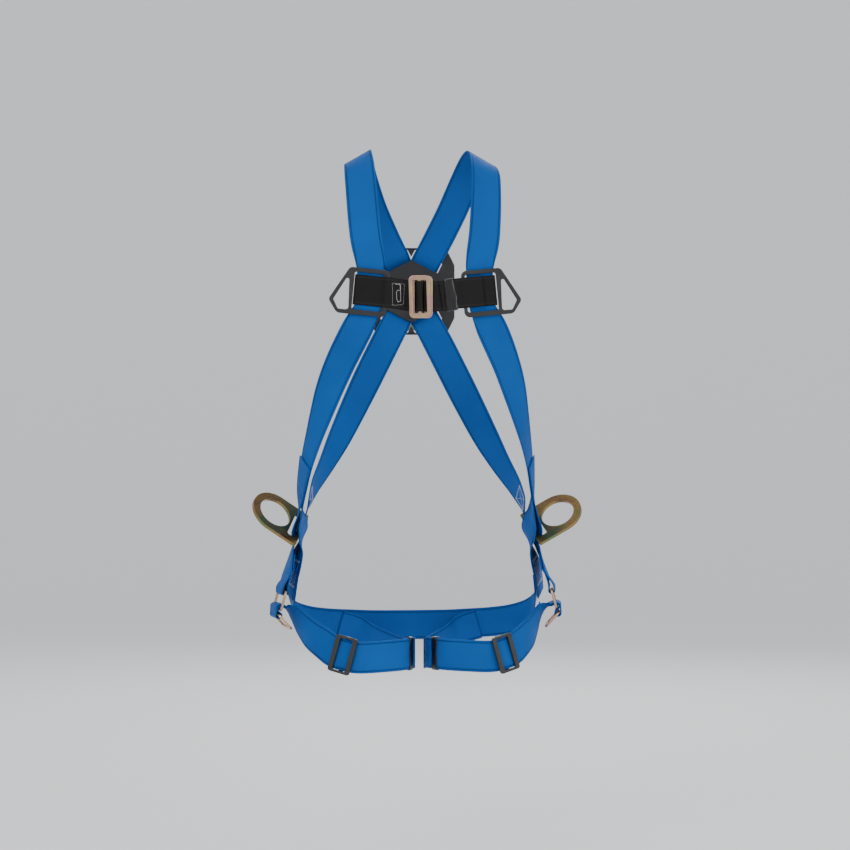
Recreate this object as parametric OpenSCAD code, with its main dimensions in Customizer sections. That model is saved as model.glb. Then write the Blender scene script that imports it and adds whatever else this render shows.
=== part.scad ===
// Full-body safety harness in the shape it has when it is worn.
// Millimetres, +Z up, the wearer faces -Y. The origin is midway between the tops of the shoulder straps.

/* [Webbing] */
// Width of the main, seat and leg webbing
web_w = 45; // [44:0.5:45.5]
// Thickness of the main, seat and leg webbing
web_t = 2; // [1.6:0.1:2.1]
// Width of the chest webbing
chest_w = 43; // [40:0.5:43.5]
// Thickness of the chest webbing
chest_t = 1.5; // [1.2:0.1:1.5]
// Width of each elastic keeper along its strap
keeper_w = 14; // [10:1:16]
// Thickness of the keeper elastic
keeper_t = 1.2; // [1:0.1:1.4]

/* [Rings] */
// Diameter of the round connector hole in every ring
ring_hole_d = 50; // [48:1:51]
// Outer width of the ring plates
ring_w = 73; // [72:0.5:76]
// Thickness of the ring plates
ring_t = 5; // [4:0.5:5]
// Height of the webbing slot in the ring plates
ring_slot = 13; // [12.5:0.5:14]
// Height of the base bar of the ring plates
ring_bar = 6; // [5:0.5:6]

/* [Buckles] */
// Length of the steel buckle plates, along their bars
plate_l = 60; // [58:0.5:62]
// Width of the steel buckle plates
plate_w = 30; // [29:0.5:31]
// Thickness of the steel buckle plates
plate_t = 3.2; // [2.6:0.2:3.2]
// Width of the two outer bars of the steel plates
plate_bar = 5; // [4.5:0.1:5]

/* [Chest frames] */
// Thickness of the chest frames
frame_t = 3.6; // [3:0.2:3.8]
// Tilt of the chest frames, outer side up
frame_tilt = 5.5; // [4:0.5:7]

/* [Leg sliders] */
// Length of the leg sliders, across the strap
slider_l = 53; // [52:0.5:55]
// Width of the leg sliders, along the strap
slider_w = 34; // [32:0.5:35]

/* [Dorsal plate] */
// Width and height of the dorsal plate
dorsal_size = 132; // [128:1:136]

/* [Hidden] */
$fn = 48;

blue = [0.02, 0.33, 0.6];
black = [0.13, 0.13, 0.13];
zinc = [0.78, 0.66, 0.52];
olive = [0.6, 0.52, 0.28];

// A route is a list of [x, y, z, sx, sy, sz, w]: a point of the webbing's middle, the direction of its
// width there, and its width. The strap's surface follows from the route and that direction.

// Behind the hip, up the chest and over the shoulder, on the +X side
FRONT_ROUTE = [
    [188.5, 46, -655, 0.3, 0.88, 0.38, web_w],
    [185, 40, -632, 0.33, 0.88, 0.36, web_w],
    [179, 37.5, -606, 0.3, 0.88, 0.38, web_w],
    [171.5, 35.5, -583, 0.02, 0.87, 0.47, web_w],
    [167.7, 30.3, -567.1, -0.3, 0.78, 0.55, web_w],
    [167.5, 24.7, -558.9, -0.3, 0.78, 0.55, web_w],
    [167.7, 19.1, -550.7, -0.3, 0.78, 0.55, web_w],
    [169.6, 14.5, -532, -0.05, 0.9, 0.42, web_w],
    [170.5, 11, -510, 0.12, 0.94, 0.3, web_w],
    [168.5, 3, -488, 0.22, 0.94, 0.25, web_w],
    [164, -12, -458, 0.32, 0.92, 0.2, web_w],
    [156, -30, -425, 0.45, 0.88, 0.18, web_w],
    [146, -47, -390, 0.62, 0.76, 0.17, web_w],
    [134, -65, -352, 0.8, 0.57, 0.18, web_w],
    [120, -84, -316, 0.9, 0.38, 0.22, web_w],
    [105, -99, -284, 0.96, 0.17, 0.22, web_w],
    [94, -107, -262, 0.98, 0.06, 0.16, web_w - 1],
    [84.8, -109.3, -243, 1, 0, 0.1, web_w - 7],
    [81.2, -109.8, -232, 1, 0, 0.1, web_w - 8],
    [79.4, -109.8, -212, 1, 0, 0.09, web_w - 7],
    [77.8, -109.8, -192, 1, 0, 0.06, web_w - 7],
    [77.8, -109.8, -178, 1, 0, 0, web_w - 5],
    [80, -109.8, -162, 1, 0, -0.05, web_w - 2],
    [83, -109.5, -146, 1, 0, -0.08, web_w],
    [85.5, -106, -128, 1, 0, -0.08, web_w],
    [88, -99, -96, 0.99, 0.08, -0.08, web_w],
    [90, -89, -62, 0.97, 0.2, -0.12, web_w],
    [91, -73, -37, 0.95, 0.12, -0.3, web_w],
    [91, -42, -19, 0.88, 0, -0.46, web_w],
    [89, -5, -12, 0.86, 0, -0.5, web_w],
    [84, 35, -20, 0.88, -0.1, -0.46, web_w],
    [74, 66, -45, 0.93, -0.15, -0.33, web_w],
    [60, 88, -80, 0.94, -0.1, -0.33, web_w],
    [42, 101, -118, 0.91, -0.03, -0.4, web_w]
];
// Out through the dorsal plate, over the bar of the dorsal ring, and back in; lift is how far out it lies
function dorsal_route(lift) = [
    [29.5, 106.3, -142, 0.89, 0, -0.45, web_w - 1],
    [26, 107.2, -148, 0.89, 0, -0.45, web_w - 1],
    [22.8, 110.2 + lift / 2, -154.5, 0.89, 0, -0.45, web_w - 1],
    [19.8, 113.6 + lift, -161, 0.89, 0, -0.45, web_w - 1],
    [13, 114.6 + lift, -175, 0.89, 0, -0.45, web_w - 1],
    [6, 115.7 + lift, -188, 0.89, 0, -0.45, web_w - 1],
    [0, 116 + lift, -200, 0.89, 0, -0.45, web_w - 1],
    [-6, 115.7 + lift, -212, 0.89, 0, -0.45, web_w - 1],
    [-13, 114.6 + lift, -225, 0.89, 0, -0.45, web_w - 1],
    [-19.8, 113.6 + lift, -239, 0.89, 0, -0.45, web_w - 1],
    [-22.8, 110.2 + lift / 2, -245.5, 0.89, 0, -0.45, web_w - 1],
    [-26, 107.2, -252, 0.89, 0, -0.45, web_w - 1],
    [-29.5, 106.3, -258, 0.89, 0, -0.45, web_w - 1]
];
// Down the back to the opposite hip, where it ends sewn behind the other main strap
BACK_ROUTE = [
    [-44, 103, -286, 0.88, 0.05, -0.47, web_w],
    [-66, 100, -330, 0.88, 0.12, -0.45, web_w],
    [-88, 93, -375, 0.83, 0.35, -0.42, web_w],
    [-110, 82, -420, 0.72, 0.58, -0.38, web_w],
    [-131, 67, -460, 0.5, 0.8, -0.3, web_w],
    [-149, 48, -492, 0.3, 0.92, -0.22, web_w],
    [-158.5, 31, -514, 0.12, 0.98, -0.1, web_w],
    [-161.3, 23, -526, 0, 0.99, 0.02, web_w - 4]
];
// Behind the hips, from one side to the middle
SEAT_HALF = [
    [182.5, 47, -622, 0.33, 0.86, 0.4, web_w],
    [185, 53, -645, 0.3, 0.82, 0.48, web_w],
    [184.5, 71, -667, 0.2, 0.72, 0.65, web_w],
    [176, 99, -687, 0.1, 0.45, 0.88, web_w],
    [158, 123, -699, 0, 0.2, 0.98, web_w],
    [130, 139, -705, 0, 0.05, 1, web_w],
    [92, 148.5, -708, 0, 0, 1, web_w],
    [45, 153, -710, 0, 0, 1, web_w]
];
// From the seat strap through the crotch to the buckle end of the thigh
LEG_ROUTE = [
    [106, 142, -709, 0.25, 0, 0.97, web_w],
    [86, 144.4, -715, 0.3, 0, 0.95, web_w],
    [66, 138, -723, 0.2, -0.1, 0.97, web_w],
    [46, 112, -733, 0.1, -0.1, 0.99, web_w],
    [27, 76, -740, 0, 0, 1, web_w],
    [14, 38, -741, 0, 0, 1, web_w],
    [9, 0, -738, 0, 0, 1, web_w],
    [9, -38, -733, 0, 0, 1, web_w],
    [10.3, -53, -731.8, 0, 0, 1, web_w],
    [15, -68, -731, 0, 0, 1, web_w],
    [30, -89, -731, 0, 0, 1, web_w],
    [60, -101, -732, 0, 0, 1, web_w],
    [86, -104, -733, 0, 0, 1, web_w],
    [101, -102, -732.5, -0.12, 0, 1, web_w],
    [115, -96.5, -729.5, -0.28, 0, 0.96, web_w],
    [129, -87, -725, -0.35, 0, 0.94, web_w],
    [144, -71, -715, -0.36, -0.15, 0.92, web_w],
    [160, -46, -704.5, -0.3, -0.42, 0.85, web_w],
    [172.5, -20, -692, -0.2, -0.66, 0.72, web_w],
    [182.5, -1.5, -680.5, -0.17, -0.87, 0.46, web_w]
];
// How many points of the leg route the webbing follows again, behind itself, after the buckle
LEG_BACK_AGAIN = 9;
leg_steps = 4;

// The leg buckle: its bars' direction, the middle of the upper plate, and each plate's way down
LEG_AXIS = [0.17, 0.985, 0];
FEMALE_AT = [202.6, 3, -658.3];
FEMALE_DOWN = [0.26, -0.045, -0.965];
MALE_DOWN = [-0.66, 0.1, -0.745];
// Where the leg strap meets the upper plate's lower bar, as an angle around it
leg_leave = 155;
// How far the leg strap runs straight before that bar
leg_straight = 12;
MALE_BELOW = 5.2;
MALE_OUTSIDE = 8;

// The chest frame's middle, and the chest buckle's plates
FRAME_AT = [80, -110, -214];
FRAME_GAP = 1.4;
MALE_AT_CHEST = [-9.5, -124.8, -221.8];
FEMALE_AT_CHEST = [-5.4, -118.5, -221.8];
CHEST_PLATE_TILT = 1.6;

// The side ring's bar: its middle, its direction on the +X side, and the ring's way out on each side
RING_AT = [172.5, 26, -558];
RING_BAR = unit([-0.3, 0.78, 0.55]);
RING_FACE = unit(cross([0, 0.56, -0.82], RING_BAR));
RING_OUT_RIGHT = [0.88, -0.05, 0.47];
RING_OUT_LEFT = [0.76, 0.06, 0.65];

function unit(v) = v / norm(v);
function head(p) = [p[0], p[1], p[2]];
function side(p) = [p[3], p[4], p[5]];
function point(p, s, w) = [p[0], p[1], p[2], s[0], s[1], s[2], w];
// Makes one direction square to another
function square_to(v, way) = unit(v - (v * way) / (way * way) * way);
// A point on the smooth curve through b and c
function curve(a, b, c, d, t) =
    0.5 * (2 * b + (c - a) * t + (2 * a - 5 * b + 4 * c - d) * t * t + (3 * b - a - 3 * c + d) * t * t * t);
function smooth(r, steps) = [
    for (i = [0 : len(r) - 2])
        for (s = [0 : steps - 1])
            curve(r[max(i - 1, 0)], r[i], r[i + 1], r[min(i + 2, len(r) - 1)], s / steps),
    r[len(r) - 1]
];
function mirrored(r) = [for (p = r) [-p[0], p[1], p[2], -p[3], p[4], p[5], p[6]]];
function reversed(r) = [for (i = [len(r) - 1 : -1 : 0]) r[i]];
function direction(r, i) = unit(head(r[min(i + 1, len(r) - 1)]) - head(r[max(i - 1, 0)]));
// The strap's surface direction at one point of its route
function facing(r, i) = cross(square_to(side(r[i]), direction(r, i)), direction(r, i));
// The same route, moved along the strap's surface direction
function layer(r, distance) = [
    for (i = [0 : len(r) - 1])
        point(head(r[i]) + distance * facing(r, i), side(r[i]), r[i][6])
];
function part(r, from, to) = [for (i = [from : to]) r[i]];
// The four corners of the strap's section at one point of its route
function section(r, i, thick) =
    let (p = head(r[i]))
    let (s = square_to(side(r[i]), direction(r, i)) * r[i][6] / 2)
    let (n = facing(r, i) * thick / 2)
    [p + s + n, p - s + n, p - s - n, p + s - n];

// A flat strap of the given thickness along a route
module strap(route, thick, steps = 3) {
    r = smooth(route, steps);
    corners = [for (i = [0 : len(r) - 1]) each section(r, i, thick)];
    last = 4 * (len(r) - 1);
    faces = concat(
        [[2, 1, 0], [3, 2, 0]],
        [for (i = [0 : len(r) - 2]) for (k = [0 : 3]) each
            let (a = 4 * i + k, b = 4 * i + (k + 1) % 4)
            k == 2 ? [[b, b + 4, a + 4], [b, a + 4, a]] : [[b + 4, a + 4, a], [b, b + 4, a]]],
        [[last, last + 1, last + 2], [last, last + 2, last + 3]]
    );
    polyhedron(corners, faces);
}

// Points on a circle around a bar, between two angles: the angle turns from x to y, both square to the axis
function around(centre, axis, x, y, radius, width, from, to, count) = [
    for (i = [0 : count])
        let (a = from + (to - from) * i / count)
        point(centre + radius * (cos(a) * x + sin(a) * y), axis, width)
];

clear = 0.35;
lap = web_t + clear;
plate_reach = norm([plate_bar, plate_t]) / 2;
plate_turn = plate_reach + clear + web_t / 2;
ring_turn = norm([ring_bar, ring_t]) / 2 + clear + web_t / 2;

FEMALE_OUT = cross(FEMALE_DOWN, LEG_AXIS);
MALE_OUT = cross(MALE_DOWN, LEG_AXIS);
bar_offset = (plate_w - plate_bar) / 2;
FEMALE_TOP = FEMALE_AT - bar_offset * FEMALE_DOWN;
FEMALE_LOW = FEMALE_AT + bar_offset * FEMALE_DOWN;
MALE_TOP = FEMALE_LOW + MALE_OUTSIDE * MALE_OUT + MALE_BELOW * MALE_DOWN;
MALE_AT = MALE_TOP + bar_offset * MALE_DOWN;

// How loosely the hip strap lies on the main strap and over the ring's bar, and how far it follows that bar
loose = 0.4;
ring_play = 0.65;
bar_stretch = 11;
hip_steps = 4;
// How far the webbing runs straight beside the plate's bar, before and after it,
// and how its two layers close up
straight_down = 7;
straight_up = 9;
closing = 1.8;
back_play = 0.6;

// The hip strap: sewn on the main strap above the ring, over the ring's bar, down to the leg buckle's upper
// bar, round it and back up
module hip_strap() {
    above = concat(
        [[175, 16, -532, -0.12, 0.93, 0.36, web_w]],
        layer(part(FRONT_ROUTE, 8, 10), lap + loose)
    );
    along = cross(RING_BAR, RING_FACE);
    over_bar = (ring_turn + ring_play) * RING_FACE;
    over_ring = [
        for (step = [-bar_stretch, 0, bar_stretch])
            point(RING_AT + over_bar + step * along, RING_BAR, web_w),
        [180, 36, -577, -0.15, 0.9, 0.35, web_w],
        [184.5, 34, -590, 0, 0.97, 0, web_w],
        [188, 27.5, -602, 0.08, 0.97, 0, web_w],
        [191.3, 19, -614, 0.14, 0.985, 0, web_w],
        [194.5, 10, -625, 0.17, 0.985, 0, web_w]
    ];
    down = point(FEMALE_TOP + plate_turn * FEMALE_OUT - straight_down * FEMALE_DOWN, LEG_AXIS, web_w);
    bend = around(FEMALE_TOP, LEG_AXIS, FEMALE_DOWN, FEMALE_OUT, plate_turn, web_w, 90, -90, 6);
    up = point(
        FEMALE_TOP - (plate_turn - closing) * FEMALE_OUT - straight_up * FEMALE_DOWN,
        LEG_AXIS, web_w
    );
    front = smooth(concat(over_ring, [down]), hip_steps);
    back = layer(reversed(part(front, 5 * hip_steps, 7 * hip_steps)), -(lap + back_play));
    color(blue) strap(concat(reversed(above), over_ring, [down], bend, [up], back), web_t, hip_steps);
}
module hip_strap_right() { hip_strap(); }
module hip_strap_left() { mirror([1, 0, 0]) hip_strap(); }

module main_strap(lift) {
    color(blue) strap(concat(FRONT_ROUTE, dorsal_route(lift), BACK_ROUTE), web_t);
}
module main_strap_right() { main_strap(0); }
module main_strap_left() { mirror([1, 0, 0]) main_strap(lap + 1.2); }

module seat_strap() {
    color(blue) strap(concat(SEAT_HALF, reversed(mirrored(SEAT_HALF))), web_t);
}

// The leg strap goes up through the window of the upper plate, over its lower bar, round the upper bar of
// the lower plate, and back the same way, behind itself
module leg_strap() {
    out = MALE_OUT;
    up = -MALE_DOWN;
    far_turn = plate_turn + lap;
    gap = MALE_TOP - FEMALE_LOW;
    lean = atan2(gap * up, gap * out);
    leave = lean + 180 - acos((far_turn - plate_turn) / norm(gap));
    low_play = 0.15;
    top = function (r, a, b, n) around(FEMALE_LOW, -LEG_AXIS, out, up, r, web_w, a, b, n);
    low = function (r, a, b, n) around(MALE_TOP, -LEG_AXIS, out, up, r, web_w, a, b, n);
    near = function (r) point(
        FEMALE_LOW + (r * cos(leg_leave) - leg_straight * sin(leg_leave)) * out
            + (r * sin(leg_leave) + leg_straight * cos(leg_leave)) * up,
        -LEG_AXIS, web_w);
    ahead = smooth(concat(LEG_ROUTE, [near(plate_turn)]), leg_steps);
    again = part(ahead, leg_steps * (LEG_BACK_AGAIN - 1), len(ahead) - 1 - leg_steps);
    behind = reversed(layer(again, lap));
    color(blue) strap(concat(
        LEG_ROUTE,
        [near(plate_turn)],
        top(plate_turn, leg_leave, lean, 7),
        low(plate_turn + low_play, lean + 180, 360 + leave, 8),
        top(far_turn, leave, leg_leave, 6),
        [near(far_turn)],
        behind
    ), web_t, leg_steps);
}
module leg_strap_right() { leg_strap(); }
module leg_strap_left() { mirror([1, 0, 0]) leg_strap(); }

// The directions of the chest frame: outward along its bars, and up
FRAME_U = [cos(frame_tilt), 0, sin(frame_tilt)];
FRAME_V = [-sin(frame_tilt), 0, cos(frame_tilt)];
// A point of the webbing at the chest frame: outward, depth, and height
function at_frame(u, y, v = 1) =
    let (p = [FRAME_AT[0], y, FRAME_AT[2]] + u * FRAME_U + v * FRAME_V)
    point(p, FRAME_V, chest_w);

frame_front = FRAME_AT[1] - FRAME_GAP - frame_t;
chest_over = frame_front - clear - chest_t / 2;
chest_near = FRAME_AT[1] - web_t / 2 - 0.4 - chest_t / 2;
chest_far = FRAME_AT[1] + web_t / 2 + 0.6 + chest_t / 2;
chest_lap = chest_t + clear;

// Behind the frame's inner bar and the main strap, forward beside the outer bar, and over the main strap
CHEST_LOOP = [
    at_frame(-31.5, chest_far - 2.4),
    at_frame(-28, chest_far - 0.3),
    at_frame(-10, chest_far),
    at_frame(12, chest_far),
    at_frame(18.5, chest_far + 0.1),
    at_frame(20.6, chest_far - 1),
    at_frame(21, FRAME_AT[1]),
    at_frame(20.6, chest_near + 1),
    at_frame(18.5, chest_near - 0.1),
    at_frame(12, chest_near)
];

// The chest webbing's layers between the frames and the buckle, from the front one back
chest_a = -115.1;
chest_b = chest_a + 1.9;
chest_c = chest_b + 1.9;
// A point of the chest webbing there: outward, depth and height
function at_chest(x, y, z) = [x, y, z, -0.002 * x, 0, 1, chest_w];

// Sewn to itself beside the frame, then through the inner plate, round the middle bar of the outer one
module chest_strap_left() {
    bar = [-MALE_AT_CHEST[0], MALE_AT_CHEST[1], -221.2];
    turn = norm([middle_bar, plate_t]) / 2 + clear + chest_t / 2;
    color(black) mirror([1, 0, 0]) strap(concat(
        [at_chest(30, chest_c, -218.6), at_chest(45, chest_c, -216.4)],
        CHEST_LOOP,
        [at_frame(-8, chest_near), at_frame(-17, chest_near - 0.6)],
        [at_frame(-22, chest_over), at_frame(-27, chest_over)],
        [at_chest(45, chest_a, -216.4), at_chest(33, chest_a, -218.3), at_chest(23, chest_a, -220)],
        [at_chest(17.5, chest_a, -220.7), at_chest(15.2, -115.1, -221)],
        [at_chest(13.7, -116.6, -221.1), at_chest(13.2, -119, -221.2)],
        around(bar, [0.03, 0, 1], [1, 0, 0], [0, -1, 0], turn, chest_w, 0, 180, 6),
        [at_chest(6.6, -118.6, -221.2), at_chest(9.5, -114.2, -221.2), at_chest(14, chest_b + 0.2, -221)],
        [at_chest(24, chest_b, -219.9), at_chest(46, chest_b, -216.3)]
    ), chest_t, 2);
}
// Round the middle bar of the inner plate, behind the frame and the main strap, then folded forward over it
// and back through the keeper
module chest_strap_right() {
    bar = [FEMALE_MIDDLE, FEMALE_AT_CHEST[1], -221.2];
    turn = norm([inner_middle_bar, plate_t]) / 2 + clear + chest_t / 2;
    fold = chest_t / 2 + clear / 2;
    color(black) strap(concat(
        [at_chest(16, chest_c, -220.8), at_chest(8, chest_c, -221), at_chest(1, -113.2, -221.2)],
        [at_chest(-3.4, -116.2, -221.2)],
        around(bar, [0, 0, 1], [-1, 0, 0], [0, -1, 0], turn, chest_w, 0, 180, 6),
        [at_chest(4.4, -116.4, -221.2), at_chest(7.5, chest_a - 0.1, -221.1)],
        [at_chest(13, chest_a, -220.9)],
        [at_chest(22, chest_b - 0.3, -220), at_chest(34, chest_b, -218.3), at_chest(45.5, chest_b, -216.3)],
        CHEST_LOOP,
        [at_frame(-6, chest_near), at_frame(-17, chest_near)],
        [at_frame(-18.2, chest_near - fold), at_frame(-17, chest_near - 2 * fold)],
        [at_frame(-8, chest_near - 2 * fold), at_frame(1, chest_near - 2 * fold)],
        [at_frame(2.2, chest_near - 3 * fold - 0.1), at_frame(1, chest_over)],
        [at_frame(-8, chest_over), at_frame(-27, chest_over), at_chest(46, chest_a - 0.1, -216.3)],
        [at_chest(34, chest_a, -218.3), at_chest(22, chest_a - 0.1, -220)]
    ), chest_t, 2);
}

// The leg keeper sits on this stretch of the leg strap, where the route turns to the front
KEEPER_POINT = 9;
keeper_play = 1.2;

// A band of elastic round one or more layers: a route, its width across, its depth, and the hole's length
module band(route, across, depth, wall) {
    wide = [for (p = route) point(head(p), side(p), across + 2 * wall)];
    hole = [for (p = route) point(head(p), side(p), across)];
    n = len(hole) - 1;
    longer = concat(
        [point(2 * head(hole[0]) - head(hole[1]), side(hole[0]), across)],
        hole,
        [point(2 * head(hole[n]) - head(hole[n - 1]), side(hole[n]), across)]
    );
    difference() {
        strap(wide, depth + 2 * wall);
        strap(longer, depth);
    }
}
module chest_keeper() {
    y = (chest_a + chest_b) / 2;
    color(black) band(
        [at_chest(27, y, -219.4), at_chest(35, y, -218.2), at_chest(43.5, y, -216.7)],
        chest_w + keeper_play, 4.4, keeper_t
    );
}
module leg_keeper() {
    core = layer(smooth(LEG_ROUTE, leg_steps), lap / 2);
    stretch = part(core, leg_steps * KEEPER_POINT, leg_steps * KEEPER_POINT + 2);
    color(black) band(stretch, web_w + keeper_play, 2 * web_t + clear + 1, keeper_t);
}
module leg_keeper_right() { leg_keeper(); }
module leg_keeper_left() { mirror([1, 0, 0]) leg_keeper(); }

// A plate outline with rounded corners, as one polygon; each corner is [x, y, radius]
function flat(p) = [p[0], p[1]];
function rounded(c) = [
    for (i = [0 : len(c) - 1])
        let (
            n = len(c),
            at = flat(c[i]),
            a = unit(flat(c[(i + n - 1) % n]) - at),
            b = unit(flat(c[(i + 1) % n]) - at),
            half = acos(a * b) / 2,
            mid = at + unit(a + b) * c[i][2] / sin(half),
            start = at + a * c[i][2] / tan(half) - mid,
            end = at + b * c[i][2] / tan(half) - mid,
            sweep = (180 - 2 * half) * (start[0] * end[1] - start[1] * end[0] > 0 ? 1 : -1)
        )
        for (k = [0 : 5])
            let (t = sweep * k / 5)
            mid + [start[0] * cos(t) - start[1] * sin(t), start[0] * sin(t) + start[1] * cos(t)]
];
function box_outline(w, h, r) =
    rounded([[-w / 2, -h / 2, r], [w / 2, -h / 2, r], [w / 2, h / 2, r], [-w / 2, h / 2, r]]);

// Puts a flat plate, drawn in x and y, where its own x and y directions and its middle are given
module placed(at, xa, ya) {
    za = cross(xa, ya);
    multmatrix([
        [xa[0], ya[0], za[0], at[0]],
        [xa[1], ya[1], za[1], at[1]],
        [xa[2], ya[2], za[2], at[2]],
        [0, 0, 0, 1]
    ]) children();
}

module chest_frame() {
    color(black)
    placed(FRAME_AT, FRAME_U, FRAME_V)
    translate([0, 0, FRAME_GAP])
    linear_extrude(frame_t) difference() {
        polygon(rounded([[-27, 32, 8], [30, 32, 7], [56.5, -16, 6], [43, -34.5, 9], [-27, -34.5, 8]]));
        polygon(rounded([[-22, 26, 3], [22.6, 26, 3], [22.6, -27.5, 3], [-22, -27.5, 3]]));
        polygon(rounded([[30, 22.5, 2.5], [49.5, -15.5, 2], [42, -28.5, 3], [27, -28.5, 4]]));
    }
}
module chest_frame_right() { chest_frame(); }
module chest_frame_left() { mirror([1, 0, 0]) chest_frame(); }

// A steel plate with rounded corners, drawn with its bars along x
plate_end = 6.5;
middle_bar = 4;
inner_middle_bar = 3.5;
window_l = plate_l - 2 * plate_end;
module window(y0, y1) { translate([0, (y0 + y1) / 2]) polygon(box_outline(window_l, y1 - y0, 1.8)); }
module plate() {
    color(zinc) translate([0, 0, -plate_t / 2]) linear_extrude(plate_t) difference() {
        polygon(box_outline(plate_l, plate_w, 6.5));
        children();
    }
}
chest_up = [-sin(CHEST_PLATE_TILT), 0, cos(CHEST_PLATE_TILT)];
chest_side = [-cos(CHEST_PLATE_TILT), 0, -sin(CHEST_PLATE_TILT)];
module chest_buckle_male() {
    placed(MALE_AT_CHEST, chest_up, chest_side) plate() {
        window(middle_bar / 2, plate_w / 2 - plate_bar);
        window(plate_bar - plate_w / 2, -middle_bar / 2);
    }
}
// The inner plate's bars, outward from its middle: a wide window for the outer plate, then a narrow slot
FEMALE_MIDDLE = FEMALE_AT_CHEST[0] + 4.9;
module chest_buckle_female() {
    inner_edge = FEMALE_MIDDLE - FEMALE_AT_CHEST[0] - inner_middle_bar / 2;
    placed(FEMALE_AT_CHEST, [0, 0, 1], [-1, 0, 0]) plate() {
        window(-inner_edge, plate_w / 2 - plate_bar);
        window(4.2 - plate_w / 2, -inner_edge - inner_middle_bar);
    }
}

module leg_buckle(at, down) {
    placed(at, unit(LEG_AXIS), square_to(down, LEG_AXIS))
    plate() window(plate_bar - plate_w / 2, plate_w / 2 - plate_bar);
}
module leg_buckle_female_right() { leg_buckle(FEMALE_AT, FEMALE_DOWN); }
module leg_buckle_female_left() { mirror([1, 0, 0]) leg_buckle(FEMALE_AT, FEMALE_DOWN); }
module leg_buckle_male_right() { leg_buckle(MALE_AT, MALE_DOWN); }
module leg_buckle_male_left() { mirror([1, 0, 0]) leg_buckle(MALE_AT, MALE_DOWN); }

// The slider: a window frame in front of the strap, and a middle bar behind both of its layers
SLIDER_POINT = 14;
slider_front = web_t / 2 + 1;
slider_back = -web_t / 2 - lap - 0.9;
slider_bar = 7;
slider_t = 3;
module leg_slider() {
    p = LEG_ROUTE[SLIDER_POINT];
    way = direction(LEG_ROUTE, SLIDER_POINT);
    color(black) placed(head(p), way, square_to(side(p), way)) {
        difference() {
            translate([0, 0, slider_front]) linear_extrude(slider_t)
                polygon(box_outline(slider_w, slider_l, 4));
            translate([0, 0, slider_front - 1]) linear_extrude(slider_t + 2)
                polygon(box_outline(slider_w - 2 * slider_bar, slider_l - 7, 1.5));
        }
        for (end = [-1, 1])
            translate([0, end * (slider_l / 2 - 1.6), slider_back - 2.4])
                linear_extrude(slider_front - slider_back + 2.9) square([8, 3], center = true);
        translate([0, 0, slider_back - 2.4]) linear_extrude(2.4) square([6, slider_l - 2], center = true);
    }
}
module leg_slider_right() { leg_slider(); }
module leg_slider_left() { mirror([1, 0, 0]) leg_slider(); }

// A stamped ring: its bar along x through the origin, its round hole up along y
ring_web = 4;
ring_middle = ring_bar / 2 + ring_slot + ring_web + ring_hole_d / 2;
module ring(width, slot_w) {
    color(olive) translate([0, 0, -ring_t / 2]) difference() {
        union() {
            linear_extrude(ring_t) polygon(rounded([
                [-width / 2, -ring_bar / 2, 2.5], [width / 2, -ring_bar / 2, 2.5],
                [width / 2, ring_middle, 2], [-width / 2, ring_middle, 2]
            ]));
            translate([0, ring_middle, 0]) cylinder(h = ring_t, r = width / 2, $fn = 96);
        }
        translate([0, ring_bar / 2 + ring_slot / 2, -1]) linear_extrude(ring_t + 2)
            polygon(box_outline(slot_w, ring_slot, 3));
        translate([0, ring_middle, -1]) cylinder(h = ring_t + 2, d = ring_hole_d, $fn = 96);
    }
}
module side_ring(out) { placed(RING_AT, RING_BAR, square_to(out, RING_BAR)) ring(ring_w, web_w + 3); }
module side_ring_right() { side_ring(RING_OUT_RIGHT); }
module side_ring_left() { mirror([1, 0, 0]) side_ring(RING_OUT_LEFT); }

// The dorsal ring's bar lies in the dorsal plate's middle opening, behind the crossing straps
DORSAL_AT = [0, 110.5, -200];
dorsal_t = 3.5;
module dorsal_ring() { placed(DORSAL_AT, [1, 0, 0], unit([0, 0.75, -0.66])) ring(ring_w + 5, 66); }
// The straps come out through the upper pair of slots and go back in through the lower pair
module dorsal_plate() {
    size = dorsal_size / 2;
    corner = 26;
    color(black) translate([0, DORSAL_AT[1] + dorsal_t / 2, DORSAL_AT[2]])
        rotate([90, 0, 0]) linear_extrude(dorsal_t) difference() {
            polygon(rounded([
                [-size, -size + corner, 12], [-size + corner / 2, -size, 12],
                [size - corner / 2, -size, 12], [size, -size + corner, 12],
                [size, size - corner, 12], [size - corner / 2, size, 12],
                [-size + corner / 2, size, 12], [-size, size - corner, 12]
            ]));
            for (x = [-1, 1]) for (z = [-1, 1])
                translate([x * 22.8, z * 45.5]) rotate(-27 * x * z) polygon(box_outline(web_w + 2, 17, 2));
            polygon(box_outline(ring_w + 9, 18, 3));
        }
}

main_strap_left();
main_strap_right();
hip_strap_left();
hip_strap_right();
seat_strap();
leg_strap_left();
leg_strap_right();
chest_strap_left();
chest_strap_right();
chest_keeper();
leg_keeper_left();
leg_keeper_right();
chest_frame_left();
chest_frame_right();
chest_buckle_male();
chest_buckle_female();
leg_buckle_female_left();
leg_buckle_female_right();
leg_buckle_male_left();
leg_buckle_male_right();
leg_slider_left();
leg_slider_right();
side_ring_left();
side_ring_right();
dorsal_plate();
dorsal_ring();
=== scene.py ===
import math
import random

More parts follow.
